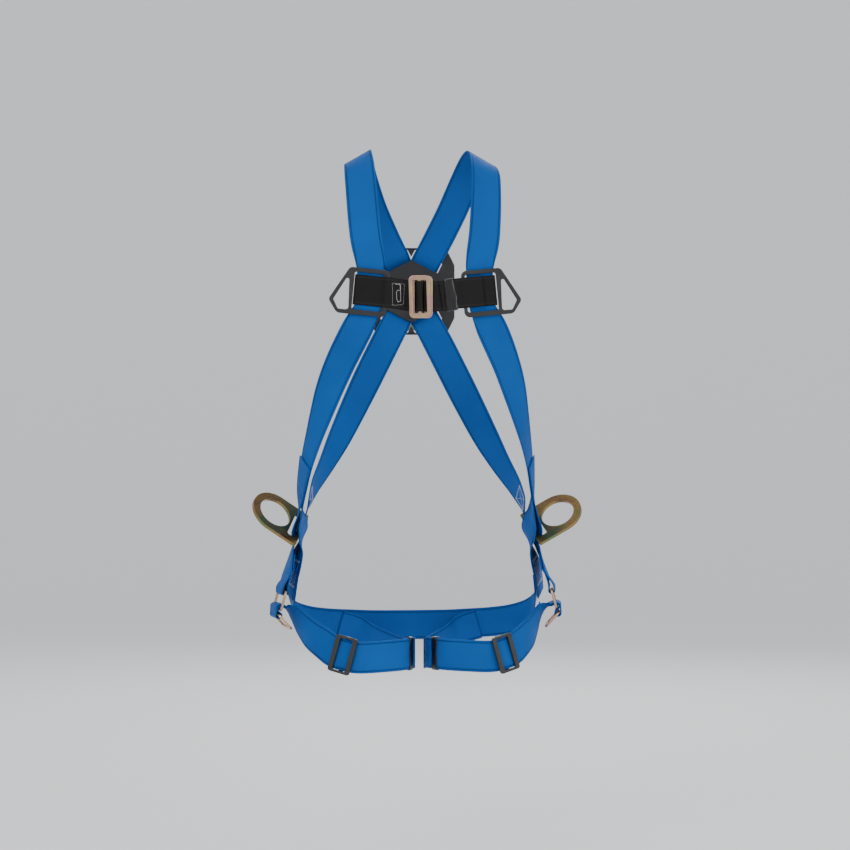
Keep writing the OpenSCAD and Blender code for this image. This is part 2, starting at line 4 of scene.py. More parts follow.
import bmesh
import bpy
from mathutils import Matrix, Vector


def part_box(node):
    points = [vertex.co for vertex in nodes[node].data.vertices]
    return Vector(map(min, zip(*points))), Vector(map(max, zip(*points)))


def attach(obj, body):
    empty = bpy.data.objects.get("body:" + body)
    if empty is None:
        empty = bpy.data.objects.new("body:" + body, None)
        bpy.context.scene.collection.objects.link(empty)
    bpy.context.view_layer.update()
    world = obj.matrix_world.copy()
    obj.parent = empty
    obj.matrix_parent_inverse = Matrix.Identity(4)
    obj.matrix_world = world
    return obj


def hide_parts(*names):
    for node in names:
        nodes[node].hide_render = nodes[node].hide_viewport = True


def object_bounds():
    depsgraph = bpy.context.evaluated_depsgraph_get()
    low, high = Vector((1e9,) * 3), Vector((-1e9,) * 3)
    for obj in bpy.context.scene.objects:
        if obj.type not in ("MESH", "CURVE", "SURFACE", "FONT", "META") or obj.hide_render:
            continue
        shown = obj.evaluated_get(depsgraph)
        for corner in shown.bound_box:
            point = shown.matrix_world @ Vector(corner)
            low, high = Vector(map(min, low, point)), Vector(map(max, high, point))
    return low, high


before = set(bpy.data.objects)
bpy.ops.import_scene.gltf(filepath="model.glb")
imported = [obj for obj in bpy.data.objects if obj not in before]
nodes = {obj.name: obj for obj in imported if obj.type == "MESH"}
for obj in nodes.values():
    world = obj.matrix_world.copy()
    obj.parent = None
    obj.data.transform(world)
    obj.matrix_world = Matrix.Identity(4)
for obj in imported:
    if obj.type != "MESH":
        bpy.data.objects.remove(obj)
cad_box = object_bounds()
MM = 0.001


# ---------------------------------------------------------------- camera, light and ground

def add_camera():
    """Front view, a little from the wearer's right, at about half the harness's height."""
    data = bpy.data.cameras.new("camera")
    data.lens = 92.25
    data.sensor_width = 36
    data.clip_end = 30
    camera = bpy.data.objects.new("camera", data)
    camera.location = (-0.2965, -3.1862, -0.403)
    camera.rotation_euler = (math.radians(90), 0, math.radians(-5.5))
    bpy.context.scene.collection.objects.link(camera)
    bpy.context.scene.camera = camera


def add_light(name, place, target, width, height, power):
    data = bpy.data.lights.new(name, "AREA")
    data.shape = "RECTANGLE"
    data.size = width
    data.size_y = height
    data.energy = power
    lamp = bpy.data.objects.new(name, data)
    lamp.location = place
    lamp.rotation_euler = (Vector(target) - Vector(place)).to_track_quat("-Z", "Y").to_euler()
    bpy.context.scene.collection.objects.link(lamp)


def add_studio():
    middle = (0, 0, -0.4)
    add_light("key", (-1.7, -2.6, 1.5), middle, 1.6, 1.6, 50)
    add_light("fill", (2.3, -2.2, 0.3), middle, 1.6, 2.0, 40)
    add_light("top", (0.1, -0.2, 2.2), middle, 1.8, 1.4, 20)
    add_light("back", (0.6, 2.4, 0.9), middle, 2.0, 1.6, 36)
    world = bpy.data.worlds.new("studio")
    world.use_nodes = True
    background = world.node_tree.nodes["Background"]
    background.inputs["Color"].default_value = (0.93, 0.94, 0.96, 1)
    background.inputs["Strength"].default_value = 0.5
    bpy.context.scene.world = world


def add_floor():
    """A plain pale floor below the harness that curves up far away on every side, so no horizon shows."""
    floor_z = cad_box[0][2] - 0.3
    flat, bend, height = 4.6, 2.4, 7.0
    around, bend_steps = 64, 16
    profile = [(0.01, floor_z), (flat * 0.5, floor_z)]
    for i in range(bend_steps + 1):
        a = math.radians(90 * i / bend_steps)
        profile.append((flat + bend * math.sin(a), floor_z + bend - bend * math.cos(a)))
    profile.append((flat + bend, floor_z + height))
    points, faces = [], []
    for reach, z in profile:
        for k in range(around):
            a = 2 * math.pi * k / around
            points.append((reach * math.cos(a), reach * math.sin(a), z))
    for i in range(len(profile) - 1):
        for k in range(around):
            a, b = i * around + k, i * around + (k + 1) % around
            faces.append((a, b, b + around, a + around))
    faces.append(tuple(reversed(range(around))))
    mesh = bpy.data.meshes.new("floor")
    mesh.from_pydata(points, [], faces)
    for face in mesh.polygons:
        face.use_smooth = True
    floor = bpy.data.objects.new("floor", mesh)
    bpy.context.scene.collection.objects.link(floor)
    material = bpy.data.materials.new("floor")
    material.use_nodes = True
    shader = material.node_tree.nodes["Principled BSDF"]
    shader.inputs["Base Color"].default_value = (0.7, 0.705, 0.72, 1)
    shader.inputs["Roughness"].default_value = 0.9
    shader.inputs["Emission Color"].default_value = (0.75, 0.755, 0.77, 1)
    shader.inputs["Emission Strength"].default_value = 0.3
    mesh.materials.append(material)


# ---------------------------------------------------------------- material helpers

# The colour sockets of the mix node, after its number and vector ones
COLOUR_A, COLOUR_B, COLOUR_OUT = 6, 7, 2


class Shader:
    """A material's node tree, with short calls for the nodes used here."""

    def __init__(self, name):
        self.material = bpy.data.materials.new(name)
        self.material.use_nodes = True
        self.tree = self.material.node_tree
        self.base = self.tree.nodes["Principled BSDF"]

    def add(self, kind, **settings):
        node = self.tree.nodes.new(kind)
        for name, value in settings.items():
            setattr(node, name, value)
        return node

    def link(self, source, target):
        self.tree.links.new(source, target)

    def put(self, socket, value):
        if isinstance(value, bpy.types.NodeSocket):
            self.link(value, socket)
        else:
            socket.default_value = value

    def math(self, operation, a, b=0.0, c=None):
        node = self.add("ShaderNodeMath", operation=operation)
        self.put(node.inputs[0], a)
        self.put(node.inputs[1], b)
        if c is not None:
            self.put(node.inputs[2], c)
        return node.outputs[0]

    def mix(self, factor, a, b):
        node = self.add("ShaderNodeMix", data_type="RGBA")
        self.put(node.inputs[0], factor)
        self.put(node.inputs[COLOUR_A], a)
        self.put(node.inputs[COLOUR_B], b)
        return node.outputs[COLOUR_OUT]

    def ramp(self, factor, stops):
        node = self.add("ShaderNodeValToRGB")
        ramp = node.color_ramp
        while len(ramp.elements) < len(stops):
            ramp.elements.new(0.5)
        for element, (place, colour) in zip(ramp.elements, stops):
            element.position = place
            element.color = colour if len(colour) == 4 else (*colour, 1)
        self.put(node.inputs[0], factor)
        return node.outputs[0]

    def noise(self, vector, scale, detail=2.0, roughness=0.5):
        node = self.add("ShaderNodeTexNoise")
        node.inputs["Scale"].default_value = scale
        node.inputs["Detail"].default_value = detail
        node.inputs["Roughness"].default_value = roughness
        self.link(vector, node.inputs["Vector"])
        return node.outputs[0]

    def bump(self, height, strength, distance):
        node = self.add("ShaderNodeBump")
        node.inputs["Strength"].default_value = strength
        node.inputs["Distance"].default_value = distance
        self.link(height, node.inputs["Height"])
        return node.outputs[0]

    def place(self):
        """Object coordinates, in metres."""
        return self.add("ShaderNodeTexCoord").outputs["Object"]

    def across_and_along(self):
        """The webbing's own coordinates in millimetres: across from its middle, and along its length."""
        node = self.add("ShaderNodeUVMap", uv_map="webbing")
        split = self.add("ShaderNodeSeparateXYZ")
        self.link(node.outputs[0], split.inputs[0])
        across = self.math("MULTIPLY", split.outputs[0], 1000.0)
        along = self.math("MULTIPLY", split.outputs[1], 1000.0)
        return across, along

    def wave(self, value, pitch):
        """0 to 1 and back over each pitch."""
        turns = self.math("MULTIPLY", value, 2 * math.pi / pitch)
        return self.math("MULTIPLY_ADD", self.math("SINE", turns), 0.5, 0.5)

    def band(self, value, centre, half, soft):
        """1 within half of the centre, falling to 0 over soft."""
        away = self.math("ABSOLUTE", self.math("SUBTRACT", value, centre))
        return self.math("SMOOTH_MIN", 1.0, self.math("MAXIMUM", 0.0, self.math(
            "DIVIDE", self.math("SUBTRACT", half + soft, away), soft)), 0.1)


# Along and across the webbing, in millimetres
TWILL_LEAN = 0.62
WARP_PITCH = 0.85
DASH_PITCH = 3.1
DASHES_FROM_EDGE = 3.3


def webbing_material(name, dark, light, edge_thread, rib_pitch, half_width, sheen, roughness, bump):
    """Woven polyester: twill ribs, cross threads, a dashed thread line near each edge, thicker selvedge."""
    s = Shader(name)
    across, along = s.across_and_along()
    ribs = s.wave(s.math("MULTIPLY_ADD", across, TWILL_LEAN, along), rib_pitch)
    threads = s.wave(s.math("MULTIPLY_ADD", across, -0.35, s.math("MULTIPLY", along, 1.9)), rib_pitch)
    warp = s.wave(across, WARP_PITCH)
    weave = s.math("MULTIPLY_ADD", threads, 0.2, s.math("MULTIPLY", warp, 0.2))
    weave = s.math("MULTIPLY_ADD", ribs, 0.6, weave)
    reach = s.math("ABSOLUTE", across)
    dashes = s.math("GREATER_THAN", s.wave(along, DASH_PITCH), 0.5)
    line = s.math("MULTIPLY", s.band(reach, half_width - DASHES_FROM_EDGE, 0.8, 0.3), dashes)
    groove = s.band(reach, half_width - DASHES_FROM_EDGE, 0.8, 0.5)
    selvedge = s.band(reach, half_width - 0.6, 0.9, 0.8)
    cloud = s.noise(s.place(), 9.0, 3.0)
    fine = s.noise(s.place(), 900.0, 2.0)
    tone = s.math("ADD", s.math("MULTIPLY", weave, 0.55), s.math("MULTIPLY", cloud, 0.35))
    tone = s.math("ADD", tone, s.math("MULTIPLY_ADD", fine, 0.3, -0.1))
    colour = s.ramp(tone, [(0.1, dark), (0.85, light)])
    colour = s.mix(s.math("MULTIPLY", selvedge, 0.12), colour, (*dark, 1))
    colour = s.mix(line, colour, (*edge_thread, 1))
    s.link(colour, s.base.inputs["Base Color"])
    height = s.math("ADD", weave, s.math("MULTIPLY", groove, -0.8))
    height = s.math("ADD", height, s.math("MULTIPLY_ADD", line, 0.9, s.math("MULTIPLY", fine, 0.35)))
    s.link(s.bump(height, bump, 0.00035), s.base.inputs["Normal"])
    rough = s.math("MULTIPLY_ADD", weave, -0.12, roughness + 0.06)
    s.link(rough, s.base.inputs["Roughness"])
    s.base.inputs["Sheen Weight"].default_value = sheen
    s.base.inputs["Sheen Roughness"].default_value = 0.35
    s.base.inputs["Sheen Tint"].default_value = (*[min(1, c * 1.3 + 0.2) for c in light], 1)
    s.base.inputs["Specular IOR Level"].default_value = 0.12
    return s.material


def plastic_material(name, colour, roughness, grain, grain_height):
    """Moulded plastic with a fine leaning grain."""
    s = Shader(name)
    place = s.place()
    split = s.add("ShaderNodeSeparateXYZ")
    s.link(place, split.inputs[0])
    lean = s.math("MULTIPLY", s.math("ADD", split.outputs[0], split.outputs[2]), 1000.0)
    lines = s.wave(lean, grain)
    speck = s.noise(place, 1400.0, 2.0)
    cloud = s.noise(place, 30.0, 3.0)
    darker, lighter = [c * 0.75 for c in colour], [c * 1.35 + 0.004 for c in colour]
    s.link(s.ramp(cloud, [(0.25, darker), (0.8, lighter)]), s.base.inputs["Base Color"])
    s.link(s.math("MULTIPLY_ADD", speck, 0.2, roughness - 0.1), s.base.inputs["Roughness"])
    height = s.math("MULTIPLY_ADD", lines, 0.6, speck)
    s.link(s.bump(height, 0.5, grain_height), s.base.inputs["Normal"])
    s.base.inputs["Specular IOR Level"].default_value = 0.45
    return s.material


def zinc_material(name, tints, roughness, patch, wear):
    """Passivated zinc on steel: patches of tint, fine scratches, fine brighter specks of worn plating."""
    s = Shader(name)
    place = s.place()
    patches = s.noise(place, patch, 4.0, 0.6)
    count = len(tints)
    stops = [(0.28 + 0.44 * i / (count - 1), tint) for i, tint in enumerate(tints)]
    colour = s.ramp(patches, stops)
    grain = s.noise(place, 700.0, 3.0)
    colour = s.mix(s.math("MULTIPLY", grain, wear), colour, (0.8, 0.76, 0.68, 1))
    s.link(colour, s.base.inputs["Base Color"])
    s.base.inputs["Metallic"].default_value = 0.92
    rough = s.math("MULTIPLY_ADD", grain, 0.16, roughness - 0.16)
    rough = s.math("ADD", s.math("MULTIPLY", patches, 0.18), rough)
    s.link(rough, s.base.inputs["Roughness"])
    dents = s.noise(place, 160.0, 3.0)
    height = s.math("ADD", s.math("MULTIPLY", dents, 1.0), s.math("MULTIPLY", grain, 0.25))
    s.link(s.bump(height, 0.22, 0.0005), s.base.inputs["Normal"])
    return s.material


def elastic_material(name):
    """Smooth woven elastic: fine lengthwise ribs and a soft shine."""
    s = Shader(name)
    across, along = s.across_and_along()
    ribs = s.wave(across, 1.1)
    cross = s.wave(along, 0.7)
    weave = s.math("MULTIPLY_ADD", ribs, 0.6, s.math("MULTIPLY", cross, 0.4))
    cloud = s.noise(s.place(), 60.0, 2.0)
    tone = s.math("ADD", s.math("MULTIPLY", weave, 0.4), s.math("MULTIPLY", cloud, 0.5))
    colour = s.ramp(tone, [(0.1, (0.002, 0.002, 0.0022)), (0.9, (0.008, 0.008, 0.009))])
    s.link(colour, s.base.inputs["Base Color"])
    s.link(s.bump(weave, 0.25, 0.0002), s.base.inputs["Normal"])
    s.link(s.math("MULTIPLY_ADD", cloud, 0.15, 0.22), s.base.inputs["Roughness"])
    return s.material


def thread_material(name, colour):
    """Sewing thread: twisted strands seen as fine slanting lines."""
    s = Shader(name)
    place = s.place()
    split = s.add("ShaderNodeSeparateXYZ")
    s.link(place, split.inputs[0])
    lean = s.math("ADD", s.math("ADD", split.outputs[0], split.outputs[1]), split.outputs[2])
    twist = s.wave(s.math("MULTIPLY", lean, 1000.0), 0.35)
    s.link(s.ramp(twist, [(0.0, [c * 0.6 for c in colour]), (1.0, colour)]), s.base.inputs["Base Color"])
    s.link(s.bump(twist, 0.4, 0.0001), s.base.inputs["Normal"])
    s.base.inputs["Roughness"].default_value = 0.55
    s.base.inputs["Sheen Weight"].default_value = 0.2
    return s.material


# ---------------------------------------------------------------- webbing from the frame

def curve(a, b, c, d, t):
    """A point on the smooth curve through b and c."""
    squared, cubed = 2 * a - 5 * b + 4 * c - d, 3 * b - a - 3 * c + d
    return 0.5 * (2 * b + (c - a) * t + squared * t * t + cubed * t ** 3)


# Two vertices of the CAD mesh are one when they agree to a micrometre
PER_MICROMETRE = 1e6
# A strap's end face: how thick and how wide it may be, and how exact its right angle is, in metres
END_THICKNESS = (0.0012, 0.0023)
END_WIDTH = 0.02
END_ERROR = 2e-5


def rings_of(node):
    """The strap's sections, four corners each, in order along it, read from its CAD mesh."""
    mesh = nodes[node].data
    index, places, of = {}, [], []
    for vertex in mesh.vertices:
        key = tuple(round(c * PER_MICROMETRE) for c in vertex.co)
        if key not in index:
            index[key] = len(places)
            places.append(vertex.co.copy())
        of.append(index[key])
    near = [set() for _ in places]
    triangles = [[of[i] for i in polygon.vertices] for polygon in mesh.polygons]
    for corners in triangles:
        for a, b in zip(corners, corners[1:] + corners[:1]):
            near[a].add(b)
            near[b].add(a)
    for corners in triangles:
        if len(set(corners)) != 3:
            continue
        start = cap_of(corners, near, places)
        if not start:
            continue
        rings, seen, now = [start], set(start), set(start)
        while True:
            following = set().union(*[near[c] for c in now]) - seen
            if not following:
                break
            if len(following) != 4:
                rings = None
                break
            rings.append(following)
            seen |= following
            now = following
        if rings and len(seen) == len(places):
            return [[places[i] for i in ring] for ring in rings]
    raise ValueError(f"{node} isn't a plain strap")


def cap_of(corners, near, places):
    """The four corners of a strap's end face, when this triangle is half of one."""
    lengths = sorted(
        ((places[a] - places[b]).length, a, b) for a, b in zip(corners, corners[1:] + corners[:1])
    )
    short, middle, long = (item[0] for item in lengths)
    if not (END_THICKNESS[0] < short < END_THICKNESS[1] and middle > END_WIDTH):
        return None
    if abs(math.hypot(short, middle) - long) > END_ERROR:
        return None
    _, a, b = lengths[2]
    other = [c for c in corners if c not in (a, b)][0]
    for fourth in (near[a] & near[b]) - {other}:
        if (places[a] + places[b] - places[other] - places[fourth]).length < END_ERROR:
            return {a, b, other, fourth}
    return None


class Strap:
    """A strap's smooth path: place, width direction, width and face direction at any length along it."""

    def __init__(self, node, spacing=2.5 * MM):
        self.node = node
        sections = [self.section(ring) for ring in rings_of(node)]
        for i in range(1, len(sections)):
            if sections[i][1].dot(sections[i - 1][1]) < 0:
                sections[i] = (sections[i][0], -sections[i][1], *sections[i][2:])
        self.thick = sections[0][3]
        self.points = []
        last = len(sections) - 1
        for i in range(last):
            four = [sections[k] for k in (max(i - 1, 0), i, i + 1, min(i + 2, last))]
            steps = max(1, round((four[2][0] - four[1][0]).length / spacing))
            for k in range(steps):
                t = k / steps
                place = curve(*[f[0] for f in four], t)
                side = curve(*[f[1] for f in four], t).normalized()
                width = four[1][2] * (1 - t) + four[2][2] * t
                self.points.append([place, side, width])
        self.points.append([sections[-1][0], sections[-1][1], sections[-1][2]])
        self.lengths = [0.0]
        for a, b in zip(self.points, self.points[1:]):
            self.lengths.append(self.lengths[-1] + (b[0] - a[0]).length)
        self.length = self.lengths[-1]
        for i, point in enumerate(self.points):
            way = self.points[min(i + 1, len(self.points) - 1)][0] - self.points[max(i - 1, 0)][0]
            way.normalize()
            side = (point[1] - way * point[1].dot(way)).normalized()
            point[1] = side
            point.append(side.cross(way))

    @staticmethod
    def section(ring):
        """Middle, width direction, width and thickness of a four-cornered section."""
        a = ring[0]
        others = sorted(ring[1:], key=lambda p: (p - a).length)
        b = others[0]
        c, d = others[1], others[2]
        across = (a + b) / 2 - (c + d) / 2
        return (a + b + c + d) / 4, across.normalized(), across.length, (a - b).length

    def find(self, length):
        """The step and the part of it at this length along."""
        length = min(max(length, 0.0), self.length)
        low, high = 0, len(self.lengths) - 1
        while high - low > 1:
            middle = (low + high) // 2
            if self.lengths[middle] <= length:
                low = middle
            else:
                high = middle
        step = self.lengths[high] - self.lengths[low]
        return low, (length - self.lengths[low]) / step if step else 0.0

    def at(self, across, along, height=0.0):
        """The point at this distance from the middle line, along the strap, and out of its face."""
        i, t = self.find(along)
        j = min(i + 1, len(self.points) - 1)
        place = self.points[i][0].lerp(self.points[j][0], t)
        side = self.points[i][1].lerp(self.points[j][1], t)
        out = self.points[i][3].lerp(self.points[j][3], t)
        return place + side * across + out * height

    def out(self, along):
        i, _ = self.find(along)
        return self.points[i][3]

    def nearest(self, x, y, z):
        """The length along the strap nearest this point, in millimetres in the frame."""
        target = Vector((x, y, z)) * MM

        def away(k):
            place, side, width, _ = self.points[k]
            offset = target - place
            across = max(-width / 2, min(width / 2, offset.dot(side)))
            return (offset - side * across).length

        return self.lengths[min(range(len(self.points)), key=away)]

    def locate(self, x, y, z):
        """Across and along, in metres, of the strap's point nearest this frame point in millimetres."""
        target = Vector((x, y, z)) * MM
        along = self.nearest(x, y, z)
        for _ in range(3):
            i, _ = self.find(along)
            ahead = self.points[min(i + 1, len(self.points) - 1)][0]
            way = (ahead - self.points[i][0]).normalized()
            along += (target - self.at(0, along)).dot(way)
        i, _ = self.find(along)
        return (target - self.at(0, along)).dot(self.points[i][1]), along

    def face_towards(self, along, way):
        """1 or -1: which face of the strap looks that way here."""
        return 1 if self.out(along).dot(Vector(way)) > 0 else -1


def link(mesh, name, material):
    for polygon in mesh.polygons:
        polygon.use_smooth = True
    piece = bpy.data.objects.new(name, mesh)
    bpy.context.scene.collection.objects.link(piece)
    mesh.materials.append(material)
    return piece


SHARP_ANGLE = 60


def woven_piece(name, node, points, faces, uvs, material, body):
    """A soft piece that replaces a CAD node, with the webbing's own coordinates as its UV map."""
    mesh = bpy.data.meshes.new(name)
    mesh.from_pydata(points, [], faces)
    layer = mesh.uv_layers.new(name="webbing")
    for loop in mesh.loops:
        layer.data[loop.index].uv = uvs[loop.vertex_index]
    outward = bmesh.new()
    outward.from_mesh(mesh)
    bmesh.ops.recalc_face_normals(outward, faces=outward.faces)
    outward.to_mesh(mesh)
    outward.free()
    piece = link(mesh, name, material)
    mesh.set_sharp_from_angle(angle=math.radians(SHARP_ANGLE))
    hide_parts(node)
    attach(piece, body)


# The webbing's section: places across it, as parts of its width, and its thickness there
ACROSS = [
    -0.5, -0.494, -0.478, -0.45, -0.43, -0.38, -0.25, -0.12, 0.0,
    0.12, 0.25, 0.38, 0.43, 0.45, 0.478, 0.494, 0.5,
]
SHAPE = [0.0, 0.55, 0.86, 1.0, 0.93, 0.97, 1.0, 1.0, 1.0, 1.0, 1.0, 0.97, 0.93, 1.0, 0.86, 0.55, 0.0]
SWELL = 0.12
INSIDE_CAD = 0.97


def weave_strap(strap, material, body, seed):
    """The woven strap: a flat band with full edges, slightly uneven, closed at both ends."""
    rng = random.Random(seed)
    phases = [rng.uniform(0, 6.28) for _ in range(2)]
    half = strap.thick / 2
    top = list(zip(ACROSS, SHAPE))
    outline = top + [(a, -s) for a, s in reversed(top[1:-1])]
    points, uvs = [], []
    for (place, side, width, out), along in zip(strap.points, strap.lengths):
        swell = SWELL * math.sin(along * 61 + phases[0]) * math.sin(along * 23 + phases[1]) * MM
        for across, shape in outline:
            edge = across * (width + swell)
            points.append(place + side * edge + out * (shape * half * INSIDE_CAD))
            uvs.append((across * width, along))
    count = len(outline)
    rows = len(strap.points)
    faces = []
    for i in range(rows - 1):
        for k in range(count):
            a, b = i * count + k, i * count + (k + 1) % count
            faces.append((a, a + count, b + count, b))
    for row, flip in ((0, False), (rows - 1, True)):
        base = row * count
        n = len(ACROSS)
        for k in range(1, n - 2):
            quad = (base + k, base + k + 1, base + count - k - 1, base + count - k)
            faces.append(tuple(reversed(quad)) if flip else quad)
        for tip in ((base, base + 1, base + count - 1), (base + n - 2, base + n - 1, base + n)):
            faces.append(tuple(reversed(tip)) if flip else tip)
    name = strap.node.replace("_strap", "_webbing")
    woven_piece(name, strap.node, points, faces, uvs, material, body)


# Kinds of stitch: length, gap and thickness of the thread
BOX_OUTER = (1.5 * MM, 1.1 * MM, 0.42 * MM)
BOX_INNER = (2.0 * MM, 0.35 * MM, 0.6 * MM)
END_ROW = (2.8 * MM, 0.25 * MM, 0.85 * MM)
BROKEN_ROW = (1.6 * MM, 1.9 * MM, 0.65 * MM)
HEAVY = (3.2 * MM, 0.5 * MM, 0.75 * MM)
TOP_END = (2.6 * MM, 0.6 * MM, 0.55 * MM)
PLAIN = (2.6 * MM, 0.5 * MM, 0.5 * MM)


def add_stitches(name, strap, face, runs, material, body, kind):
    """Rows of stitches on one face of a strap; each run is a list of (across, along) points in metres."""
    length, gap, thick = kind
    points, faces = [], []
    for run in runs:
        for (u0, v0), (u1, v1) in zip(run, run[1:]):
            total = math.hypot(u1 - u0, v1 - v0)
            count = max(1, round(total / (length + gap)))
            for k in range(count):
                t0 = (k + 0.5 * gap / (length + gap)) / count
                t1 = (k + 1 - 0.5 * gap / (length + gap)) / count
                add_stitch(points, faces, strap, face, (u0, v0), (u1, v1), t0, t1, thick)
    mesh = bpy.data.meshes.new(name)
    mesh.from_pydata(points, [], faces)
    piece = link(mesh, name, material)
    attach(piece, body)


def add_stitch(points, faces, strap, face, start, end, t0, t1, thick):
    """One stitch: a small rounded bar that dips into the webbing at both ends."""
    rows, around = 5, 6
    base = len(points)
    level = strap.thick / 2
    ends = [
        Vector((start[0] + (end[0] - start[0]) * t, start[1] + (end[1] - start[1]) * t))
        for t in (t0, t1)
    ]
    flat = (ends[1] - ends[0]).normalized()
    flat_side = Vector((-flat.y, flat.x))
    for i in range(rows):
        t = i / (rows - 1)
        here = ends[0].lerp(ends[1], t)
        bulge = math.sin(math.pi * t)
        radius = thick / 2 * (0.35 + 0.65 * bulge ** 0.5 if 0 < t < 1 else 0.35)
        rise = face * (level + thick * (0.34 * bulge - 0.22))
        for k in range(around):
            a = 2 * math.pi * k / around
            spot = here + flat_side * (radius * math.cos(a))
            points.append(strap.at(spot.x, spot.y, rise + face * radius * 0.8 * math.sin(a)))
    for i in range(rows - 1):
        for k in range(around):
            a, b = base + i * around + k, base + i * around + (k + 1) % around
            faces.append((a, b, b + around, a + around))
    faces.append(tuple(base + k for k in reversed(range(around))))
    faces.append(tuple(base + (rows - 1) * around + k for k in range(around)))


def box_stitch(half_across, along):
    """Two rectangles of stitches, one just inside the other, and the outer one's diagonals."""
    (u0, u1), (v0, v1) = (-half_across, half_across), along
    runs = []
    for inwards in (0, 1.3 * MM):
        a, b, c, d = u0 + inwards, u1 - inwards, v0 + inwards, v1 - inwards
        runs.append([(a, c), (b, c), (b, d), (a, d), (a, c)])
    runs.append([(u0, v0), (u1, v1)])
    runs.append([(u0, v1), (u1, v0)])
    return runs


def zigzag(middle, swing, along, turns):
    """A row that swings to both sides of its middle line, turns times."""
    (u0, u1), (v0, v1) = (middle * MM - swing * MM, middle * MM + swing * MM), along
    return [[(u0 if k % 2 else u1, v0 + (v1 - v0) * k / turns) for k in range(turns + 1)]]


def add_band(node, strap, along, middle, half_across, half_depth, width, body, seed):
    """An elastic band round a strap: a closed loop of soft section, with edges that wander a little."""
    wall = 1.0 * MM
    rng = random.Random(seed)
    phase = [rng.uniform(0, 6.28) for _ in range(4)]
    corner = min(half_depth, 2.2 * MM)
    loop = []
    for u, h, quarter in ((1, 1, 0), (-1, 1, 1), (-1, -1, 2), (1, -1, 3)):
        for k in range(6):
            a = math.radians(90 * (quarter + k / 5))
            loop.append((
                u * (half_across - corner) + corner * math.cos(a),
                h * (half_depth - corner) + corner * math.sin(a), math.cos(a), math.sin(a)))
        if quarter in (0, 2):
            for k in range(1, 12):
                t = k / 12
                loop.append((u * (half_across - corner) * (1 - 2 * t), h * half_depth, 0, h))
    rows = 15
    points, uvs = [], []
    perimeter = [0.0]
    for a, b in zip(loop, loop[1:]):
        perimeter.append(perimeter[-1] + math.hypot(b[0] - a[0], b[1] - a[1]))
    total = perimeter[-1] + math.hypot(loop[0][0] - loop[-1][0], loop[0][1] - loop[-1][1])
    for layer in (1, 0):
        for i in range(rows):
            t = i / (rows - 1) * 2 - 1
            for (u, h, nu, nh), run in zip(loop, perimeter):
                turn = 2 * math.pi * run / total
                edge = width / 2 + 0.5 * MM * math.sin(2 * turn + phase[0])
                edge += 0.35 * MM * math.sin(5 * turn + phase[1])
                ripple = 0.16 * MM * math.sin(7 * t + phase[2]) * math.sin(3 * turn + phase[3])
                lip = (1 - abs(t) ** 8) * 0.9 + 0.1
                grow = (wall * lip + ripple) * layer
                v = along + t * edge
                points.append(strap.at(u + nu * grow, v, middle + h + nh * grow))
                uvs.append((run, t * edge))
    n = len(loop)
    half = rows * n
    faces = []
    for base, flip in ((0, False), (half, True)):
        for i in range(rows - 1):
            for k in range(n):
                a, b = base + i * n + k, base + i * n + (k + 1) % n
                quad = (a, b, b + n, a + n)
                faces.append(tuple(reversed(quad)) if flip else quad)
    for row in (0, rows - 1):
        for k in range(n):
            a, b = row * n + k, row * n + (k + 1) % n
            quad = (a, b, b + half, a + half)
            faces.append(quad if row else tuple(reversed(quad)))
    woven_piece(node + "_band", node, points, faces, uvs, elastic, body)


# ---------------------------------------------------------------- hard pieces

BEVEL_FROM_ANGLE = 32


def finish_hard(node, material, edge, segments=3):
    """A CAD node keeps its shape, with its edges rounded over and its own material."""
    piece = nodes[node]
    piece.data.materials.clear()
    piece.data.materials.append(material)
    weld = piece.modifiers.new("weld", "WELD")
    weld.merge_threshold = 1e-6
    bevel = piece.modifiers.new("edges", "BEVEL")
    bevel.width = edge
    bevel.segments = segments
    bevel.limit_method = "ANGLE"
    bevel.angle_limit = math.radians(BEVEL_FROM_ANGLE)
    bevel.use_clamp_overlap = True
    bevel.harden_normals = False
    normal = piece.modifiers.new("normals", "WEIGHTED_NORMAL")
    normal.keep_sharp = True
    for polygon in piece.data.polygons:
        polygon.use_smooth = True


# ---------------------------------------------------------------- the scene

add_camera()
add_studio()
add_floor()

blue_webbing = webbing_material(
    "blue webbing", (0.0, 0.028, 0.14), (0.0, 0.13, 0.5), (0.0, 0.002, 0.01),
    1.25, 22.5, 0.0, 0.62, 0.7)
black_webbing = webbing_material(
    "black webbing", (0.003, 0.003, 0.0032), (0.014, 0.0135, 0.013), (0.022, 0.022, 0.022),
    1.35, 21.5, 0.05, 0.5, 0.6)
elastic = elastic_material("black elastic")
plastic = plastic_material("black plastic", (0.012, 0.012, 0.013), 0.5, 0.9, 0.00012)
pink_zinc = zinc_material(
    "passivated steel", [(0.52, 0.27, 0.22), (0.56, 0.4, 0.2), (0.47, 0.25, 0.23), (0.6, 0.33, 0.27)],
    0.34, 55.0, 0.1)
olive_zinc = zinc_material(
    "ring steel", [(0.2, 0.1, 0.055), (0.28, 0.17, 0.05), (0.1, 0.16, 0.06), (0.34, 0.2, 0.06)],
    0.3, 26.0, 0.06)
white_thread = thread_material("white thread", (0.88, 0.88, 0.85))
blue_thread = thread_material("blue thread", (0.02, 0.12, 0.4))

BLUE_STRAPS = [
    "main_strap_left", "main_strap_right", "hip_strap_left", "hip_strap_right",
    "seat_strap", "leg_strap_left", "leg_strap_right",
]
straps = {}
for number, node in enumerate(BLUE_STRAPS):
    straps[node] = Strap(node)
    weave_strap(straps[node], blue_webbing, "harness", number)
for number, name in enumerate(("left", "right")):
    node = f"chest_strap_{name}"
    straps[node] = Strap(node, 1.5 * MM)
    weave_strap(straps[node], black_webbing, f"chest_{name}", 20 + number)

